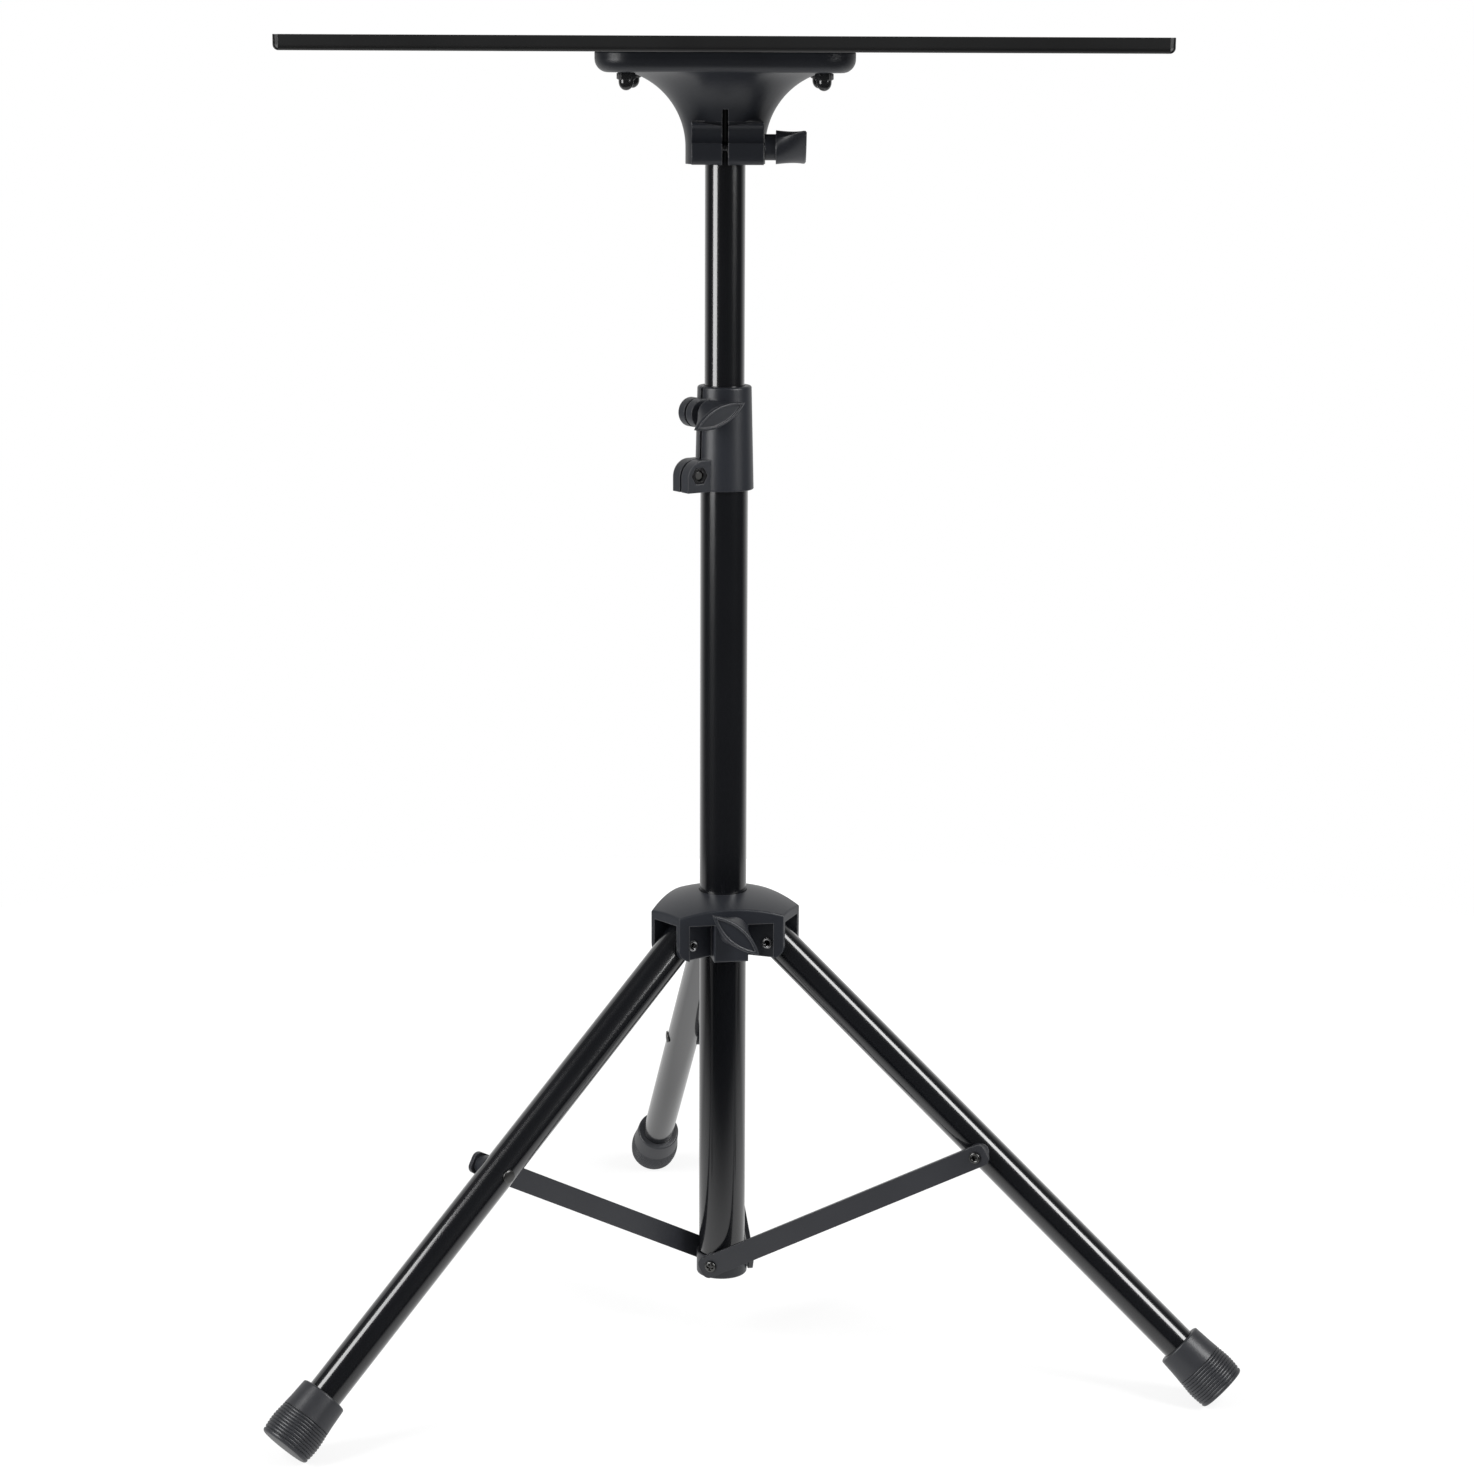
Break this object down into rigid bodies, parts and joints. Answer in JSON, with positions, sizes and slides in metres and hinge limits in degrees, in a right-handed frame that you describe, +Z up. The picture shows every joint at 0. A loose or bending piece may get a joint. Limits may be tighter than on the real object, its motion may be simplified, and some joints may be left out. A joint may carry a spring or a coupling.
{
  "type": "tripod laptop stand",
  "caption": "Folding tripod floor stand: a telescoping pole with clamp collar carries a swivelling flat tray with turned-up edges for a laptop or projector.",
  "frame": {"origin": "on the floor under the axis of the pole", "axes": "+Z up along the pole, -Y towards the viewer at the front edge of the tray, +X to the viewer's right"},
  "size_m": [0.6001, 0.5701, 0.8407],
  "materials": {
    "tube_paint": "gloss black powder coat",
    "tray_paint": "satin black powder coat",
    "brace_paint": "satin black paint",
    "plastic": "fine textured dark grey",
    "rubber": "dull dark grey",
    "hardware": "black zinc"
  },
  "bodies": {
    "pole": {"lower_tube": "tube_paint", "base_cap": "plastic", "left_brace_screw": "hardware", "right_brace_screw": "hardware", "rear_brace_screw": "hardware", "height_collar": "plastic", "collar_clamp_bolt": "hardware", "collar_clamp_nut": "hardware"},
    "mast": {"upper_tube": "tube_paint"},
    "head": {"tray_head": "plastic", "tray": "tray_paint", "tray_edges": "tray_paint", "tray_screws": "hardware", "tray_cap_nuts": "hardware"},
    "head_knob": {"head_knob": "plastic", "head_knob_stud": "hardware"},
    "collar_knob": {"collar_knob": "plastic", "collar_knob_stud": "hardware"},
    "hub": {"hub": "plastic", "left_leg_pin": "hardware", "right_leg_pin": "hardware", "rear_leg_pin": "hardware"},
    "hub_knob": {"hub_knob": "plastic", "hub_knob_stud": "hardware"},
    "rear_leg": {"rear_leg_tube": "tube_paint", "rear_foot": "rubber", "rear_leg_bolt": "hardware", "rear_spacer": "plastic"},
    "rear_brace": {"rear_brace": "brace_paint", "rear_brace_rivet": "hardware"},
    "left_leg": {"left_leg_tube": "tube_paint", "left_foot": "rubber", "left_leg_bolt": "hardware", "left_spacer": "plastic"},
    "left_brace": {"left_brace": "brace_paint", "left_brace_rivet": "hardware"},
    "right_leg": {"right_leg_tube": "tube_paint", "right_foot": "rubber", "right_leg_bolt": "hardware", "right_spacer": "plastic"},
    "right_brace": {"right_brace": "brace_paint", "right_brace_rivet": "hardware"}
  },
  "joints": [
    {"name": "mast_slide", "type": "slide", "parent": "pole", "child": "mast", "axis": [0, 0, 1], "range_m": [-0.115, 0.335]},
    {"name": "head_swivel", "type": "hinge", "parent": "mast", "child": "head", "pos_m": [0, 0, 0.76413], "axis": [0, 0, 1], "continuous": true},
    {"name": "head_knob_turn", "type": "hinge", "parent": "head", "child": "head_knob", "pos_m": [0.0236, -0.02, 0.77483], "axis": [1, 0, 0], "range_deg": [0, 360]},
    {"name": "collar_knob_turn", "type": "hinge", "parent": "pole", "child": "collar_knob", "pos_m": [-0.01264, -0.01757, 0.61173], "axis": [0.5592, -0.829, 0], "range_deg": [0, 360]},
    {"name": "hub_slide", "type": "slide", "parent": "pole", "child": "hub", "axis": [0, 0, 1], "range_m": [0, 0.16598]},
    {"name": "hub_knob_turn", "type": "hinge", "parent": "hub", "child": "hub_knob", "pos_m": [0.00577, -0.03568, 0.28653], "axis": [0.1595, -0.9872, 0], "range_deg": [0, 360]},
    {"name": "rear_leg_fold", "type": "hinge", "parent": "hub", "child": "rear_leg", "pos_m": [-0.00574, 0.03554, 0.27443], "axis": [-0.9872, -0.1595, 0], "range_deg": [0, 46.92]},
    {"name": "rear_brace_fold", "type": "hinge", "parent": "pole", "child": "rear_brace", "pos_m": [0.01678, 0.00271, 0.05273], "axis": [0.9872, 0.1595, 0], "range_deg": [0, 49.28]},
    {"name": "left_leg_fold", "type": "hinge", "parent": "hub", "child": "left_leg", "pos_m": [-0.02791, -0.02274, 0.27443], "axis": [0.6318, -0.7752, 0], "range_deg": [0, 46.92]},
    {"name": "left_brace_fold", "type": "hinge", "parent": "pole", "child": "left_brace", "pos_m": [-0.01074, 0.01318, 0.05273], "axis": [-0.6318, 0.7752, 0], "range_deg": [0, 49.28]},
    {"name": "right_leg_fold", "type": "hinge", "parent": "hub", "child": "right_leg", "pos_m": [0.03365, -0.0128, 0.27443], "axis": [0.3554, 0.9347, 0], "range_deg": [0, 46.92]},
    {"name": "right_brace_fold", "type": "hinge", "parent": "pole", "child": "right_brace", "pos_m": [-0.00604, -0.01589, 0.05273], "axis": [-0.3554, -0.9347, 0], "range_deg": [0, 49.28]}
  ],
  "couplings": [
    {"joint": "rear_leg_fold", "follows": "hub_slide", "rad_per_m": 4.9318},
    {"joint": "rear_brace_fold", "follows": "hub_slide", "rad_per_m": 5.1802},
    {"joint": "left_leg_fold", "follows": "hub_slide", "rad_per_m": 4.9318},
    {"joint": "left_brace_fold", "follows": "hub_slide", "rad_per_m": 5.1802},
    {"joint": "right_leg_fold", "follows": "hub_slide", "rad_per_m": 4.9318},
    {"joint": "right_brace_fold", "follows": "hub_slide", "rad_per_m": 5.1802}
  ]
}
